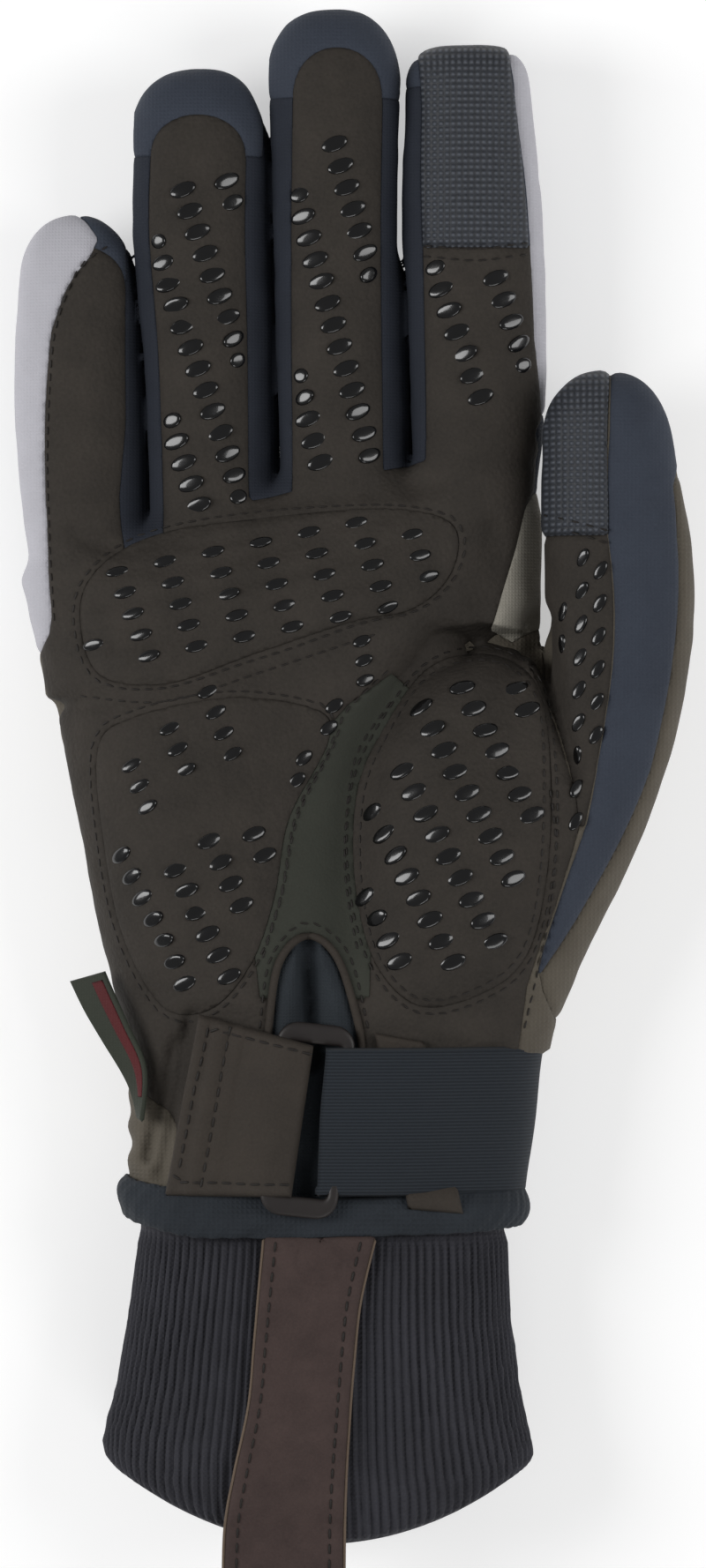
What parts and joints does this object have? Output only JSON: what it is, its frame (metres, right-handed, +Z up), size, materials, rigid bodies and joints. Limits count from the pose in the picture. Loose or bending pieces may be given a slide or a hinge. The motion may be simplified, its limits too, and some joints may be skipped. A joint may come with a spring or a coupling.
{
  "type": "winter cycling glove",
  "caption": "right-hand full-finger winter cycling glove, padded leather palm, touch patches, wrist strap, knitted cuff and pull strap",
  "frame": {"origin": "on the flat resting face of the back of the hand, under the middle of the palm", "axes": "+Z up out of the palm, +Y towards the fingertips, +X towards the thumb"},
  "size_m": [0.1274, 0.2955, 0.0413],
  "materials": {
    "palm_leather": "dark brown-grey synthetic suede leather with raised glossy silicone grip drops",
    "navy_softshell": "dark navy brushed softshell fabric",
    "brown_grey_softshell": "brown-grey softshell fabric",
    "light_grey_softshell": "light grey stretch fabric",
    "touch_fabric": "dark grey coated fabric with a fine woven check, works on touch screens",
    "elastic_webbing": "near-black woven elastic webbing",
    "rib_knit": "near-black rib knit",
    "hem_fabric": "dark rolled fabric binding",
    "pull_strap_leather": "dark brown suede leather with a stitched edge",
    "loop_plastic": "dark moulded plastic",
    "label_cloth": "dark grey-green woven cloth with a red stripe"
  },
  "bodies": {
    "root": {"index_touch_patch": "touch_fabric", "index_grey_panel": "light_grey_softshell", "little_grey_panel": "light_grey_softshell", "thumb_touch_patch": "touch_fabric", "thumb_front": "palm_leather", "thumb_side_panel": "navy_softshell", "thumb_back_panel": "brown_grey_softshell", "wrist_gusset": "navy_softshell", "palm_leather": "palm_leather", "fourchette_little_ring": "navy_softshell", "fourchette_ring_middle": "navy_softshell", "fourchette_middle_index": "navy_softshell", "finger_backs": "navy_softshell", "back_of_hand": "brown_grey_softshell", "knuckle_pad": "palm_leather", "heel_pad": "palm_leather", "thumb_ball_pad": "palm_leather", "knit_cuff": "rib_knit", "hem_binding": "hem_fabric", "strap_loop": "loop_plastic", "strap_tab": "palm_leather", "strap_keeper": "palm_leather", "strap_elastic": "elastic_webbing", "pull_strap": "pull_strap_leather", "side_label": "label_cloth"}
  },
  "joints": []
}
